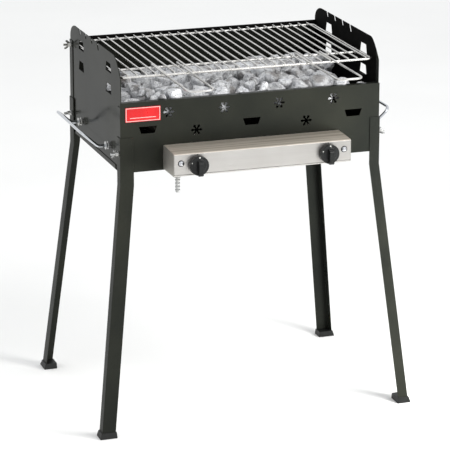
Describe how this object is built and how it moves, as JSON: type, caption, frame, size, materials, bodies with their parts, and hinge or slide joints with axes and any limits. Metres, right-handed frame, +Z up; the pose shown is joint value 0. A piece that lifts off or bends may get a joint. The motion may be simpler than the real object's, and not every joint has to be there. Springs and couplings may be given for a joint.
{
  "type": "gas charbroiler grill",
  "caption": "Free-standing gas charbroiler with an enamelled firebox on splayed angle legs, a lava rock bed, a lift-off wire grill with loop handles and a stainless control box.",
  "frame": {"origin": "on the floor under the middle of the object's bounding box, with the soles of the four feet on Z = 0", "axes": "+Z up, +X to the right as the cook faces the knobs, and -Y towards the cook: the control box and the loop handles of the grill point to -Y"},
  "size_m": [0.688, 0.5836, 0.783],
  "materials": {
    "firebox_enamel": "gloss",
    "leg_enamel": "gloss",
    "foot_plastic": "matte",
    "grate_steel": "matte",
    "lava_rock": "matte",
    "burner_steel": "satin",
    "gas_brass": "satin",
    "spindle_steel": "satin",
    "stainless_sheet": "satin",
    "screw_chrome": "polished",
    "knob_plastic": "satin",
    "white_mark": "matte",
    "black_mark": "matte",
    "badge_red": "gloss",
    "grill_chrome": "polished",
    "handle_chrome": "polished",
    "zinc_plate": "satin"
  },
  "bodies": {
    "firebox": {"front_panel": "firebox_enamel", "back_panel": "firebox_enamel", "side_panel_left": "firebox_enamel", "side_panel_right": "firebox_enamel", "bottom_tray": "firebox_enamel", "grate_ledge_left": "grate_steel", "grate_ledge_right": "grate_steel", "lava_grate": "grate_steel", "lava_rocks": "lava_rock", "burner_left": "burner_steel", "burner_right": "burner_steel", "burner_bracket_left": "burner_steel", "burner_bracket_right": "burner_steel", "gas_manifold": "gas_brass", "gas_inlet_barb": "zinc_plate", "valve_body_left": "gas_brass", "valve_body_right": "gas_brass", "injector_left": "gas_brass", "injector_right": "gas_brass", "control_box": "stainless_sheet", "control_end_left": "stainless_sheet", "control_end_right": "stainless_sheet", "control_screws": "screw_chrome", "panel_marks": "black_mark", "badge": "badge_red", "leg_front_left": "leg_enamel", "leg_front_right": "leg_enamel", "leg_rear_left": "leg_enamel", "leg_rear_right": "leg_enamel", "foot_front_left": "foot_plastic", "foot_front_right": "foot_plastic", "foot_rear_left": "foot_plastic", "foot_rear_right": "foot_plastic", "leg_bolts": "zinc_plate", "back_bolts": "zinc_plate", "side_handle_left": "handle_chrome", "side_handle_right": "handle_chrome", "handle_fixings_left": "zinc_plate", "handle_fixings_right": "zinc_plate"},
    "grill": {"grill_frame": "grill_chrome", "grill_rods": "grill_chrome", "grill_cross_rod": "grill_chrome", "grill_handle_left": "grill_chrome", "grill_handle_right": "grill_chrome"},
    "valve_slide_left": {"valve_plunger_left": "spindle_steel"},
    "knob_left": {"knob_left": "knob_plastic", "knob_mark_left": "white_mark", "valve_stem_left": "spindle_steel"},
    "valve_slide_right": {"valve_plunger_right": "spindle_steel"},
    "knob_right": {"knob_right": "knob_plastic", "knob_mark_right": "white_mark", "valve_stem_right": "spindle_steel"},
    "wing_nut_front_left": {"wing_nut_front_left": "zinc_plate"},
    "wing_nut_front_right": {"wing_nut_front_right": "zinc_plate"},
    "wing_nut_rear_left": {"wing_nut_rear_left": "zinc_plate"},
    "wing_nut_rear_right": {"wing_nut_rear_right": "zinc_plate"},
    "wing_nut_back_left": {"wing_nut_back_left": "zinc_plate"},
    "wing_nut_back_right": {"wing_nut_back_right": "zinc_plate"}
  },
  "joints": [
    {"name": "grill_lift", "type": "slide", "parent": "firebox", "child": "grill", "axis": [0, 0, 1], "range_m": [0, 0.12]},
    {"name": "knob_push_left", "type": "slide", "parent": "firebox", "child": "valve_slide_left", "axis": [0, 1, 0], "range_m": [0, 0.003], "stiffness_N_per_m": 800, "springref_m": -0.002},
    {"name": "knob_turn_left", "type": "hinge", "parent": "valve_slide_left", "child": "knob_left", "pos_m": [-0.14, -0.20925, 0.5745], "axis": [0, -1, 0], "range_deg": [0, 180]},
    {"name": "knob_push_right", "type": "slide", "parent": "firebox", "child": "valve_slide_right", "axis": [0, 1, 0], "range_m": [0, 0.003], "stiffness_N_per_m": 800, "springref_m": -0.002},
    {"name": "knob_turn_right", "type": "hinge", "parent": "valve_slide_right", "child": "knob_right", "pos_m": [0.14, -0.20925, 0.5745], "axis": [0, -1, 0], "range_deg": [0, 180]},
    {"name": "wing_nut_front_left_turn", "type": "hinge", "parent": "firebox", "child": "wing_nut_front_left", "pos_m": [-0.2826, -0.12375, 0.588], "axis": [-1, 0, 0], "continuous": true},
    {"name": "wing_nut_front_right_turn", "type": "hinge", "parent": "firebox", "child": "wing_nut_front_right", "pos_m": [0.2826, -0.12025, 0.588], "axis": [1, 0, 0], "continuous": true},
    {"name": "wing_nut_rear_left_turn", "type": "hinge", "parent": "firebox", "child": "wing_nut_rear_left", "pos_m": [-0.2826, 0.22575, 0.588], "axis": [-1, 0, 0], "continuous": true},
    {"name": "wing_nut_rear_right_turn", "type": "hinge", "parent": "firebox", "child": "wing_nut_rear_right", "pos_m": [0.2826, 0.22925, 0.588], "axis": [1, 0, 0], "continuous": true},
    {"name": "wing_nut_back_left_turn", "type": "hinge", "parent": "firebox", "child": "wing_nut_back_left", "pos_m": [-0.2811, 0.22925, 0.737], "axis": [-1, 0, 0], "continuous": true},
    {"name": "wing_nut_back_right_turn", "type": "hinge", "parent": "firebox", "child": "wing_nut_back_right", "pos_m": [0.2811, 0.22925, 0.737], "axis": [1, 0, 0], "continuous": true}
  ]
}
